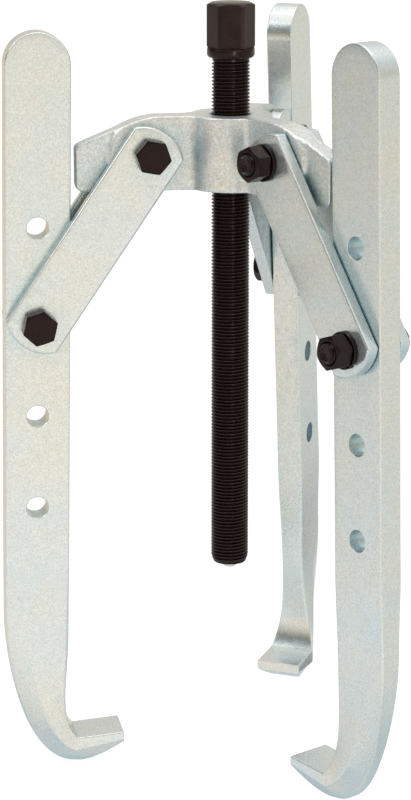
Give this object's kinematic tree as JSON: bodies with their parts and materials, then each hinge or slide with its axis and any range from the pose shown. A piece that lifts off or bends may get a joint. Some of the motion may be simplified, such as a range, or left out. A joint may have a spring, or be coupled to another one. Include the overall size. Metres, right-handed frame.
{
  "type": "gear puller",
  "caption": "Mechanical jaw puller: forged crosshead, hex-headed forcing screw with a ball tip, and hooked flat legs hung on paired links.",
  "frame": {"origin": "centre of the flat top of the spindle's hex head, on the spindle axis", "axes": "+Z along the spindle axis towards its hex head; +Y outward along the arm of jaw c; jaws a and b stand at 210 and 330 degrees from +X"},
  "size_m": [0.2462, 0.2445, 0.4504],
  "materials": {
    "zinc_plate": "satin bright zinc plate with a faint iridescence over forged and milled steel",
    "black_oxide": "oiled black-brown oxide, semi-gloss",
    "bright_steel": "ground and polished hardened steel"
  },
  "bodies": {
    "crosshead": {"crosshead": "zinc_plate"},
    "pressure_ball": {"pressure_ball": "bright_steel"},
    "spindle": {"spindle": "black_oxide"},
    "link_pair_a": {"link_head_side_a": "zinc_plate", "link_nut_side_a": "zinc_plate", "upper_bolt_a": "black_oxide", "upper_lock_washer_a": "black_oxide", "upper_nut_a": "black_oxide", "lower_bolt_a": "black_oxide", "lower_lock_washer_a": "black_oxide", "lower_nut_a": "black_oxide"},
    "leg_a": {"leg_a": "zinc_plate"},
    "link_pair_b": {"link_head_side_b": "zinc_plate", "link_nut_side_b": "zinc_plate", "upper_bolt_b": "black_oxide", "upper_lock_washer_b": "black_oxide", "upper_nut_b": "black_oxide", "lower_bolt_b": "black_oxide", "lower_lock_washer_b": "black_oxide", "lower_nut_b": "black_oxide"},
    "leg_b": {"leg_b": "zinc_plate"},
    "link_pair_c": {"link_head_side_c": "zinc_plate", "link_nut_side_c": "zinc_plate", "upper_bolt_c": "black_oxide", "upper_lock_washer_c": "black_oxide", "upper_nut_c": "black_oxide", "lower_bolt_c": "black_oxide", "lower_lock_washer_c": "black_oxide", "lower_nut_c": "black_oxide"},
    "leg_c": {"leg_c": "zinc_plate"}
  },
  "joints": [
    {"name": "screw_travel", "type": "slide", "parent": "crosshead", "child": "pressure_ball", "axis": [0, 0, 1], "range_m": [-0.03, 0.2]},
    {"name": "screw_turn", "type": "hinge", "parent": "pressure_ball", "child": "spindle", "pos_m": [0, 0, 0], "axis": [0, 0, 1], "range_deg": [-5400, 36000]},
    {"name": "link_swing_a", "type": "hinge", "parent": "crosshead", "child": "link_pair_a", "pos_m": [-0.04157, -0.024, -0.0838], "axis": [-0.5, 0.866, 0], "range_deg": [-2.5, 35]},
    {"name": "leg_tilt_a", "type": "hinge", "parent": "link_pair_a", "child": "leg_a", "pos_m": [-0.09818, -0.05668, -0.17963], "axis": [-0.5, 0.866, 0], "range_deg": [-9, 1.3]},
    {"name": "link_swing_b", "type": "hinge", "parent": "crosshead", "child": "link_pair_b", "pos_m": [0.04157, -0.024, -0.0838], "axis": [-0.5, -0.866, 0], "range_deg": [-3.5, 34]},
    {"name": "leg_tilt_b", "type": "hinge", "parent": "link_pair_b", "child": "leg_b", "pos_m": [0.09976, -0.0576, -0.17836], "axis": [-0.5, -0.866, 0], "range_deg": [-9, 1.3]},
    {"name": "link_swing_c", "type": "hinge", "parent": "crosshead", "child": "link_pair_c", "pos_m": [0, 0.048, -0.0838], "axis": [1, 0, 0], "range_deg": [-5.7, 31.3]},
    {"name": "leg_tilt_c", "type": "hinge", "parent": "link_pair_c", "child": "leg_c", "pos_m": [0, 0.11958, -0.17508], "axis": [1, 0, 0], "range_deg": [-9.5, 0.6]}
  ],
  "couplings": [
    {"joint": "screw_travel", "follows": "screw_turn", "m_per_rad": 0.00031831}
  ]
}
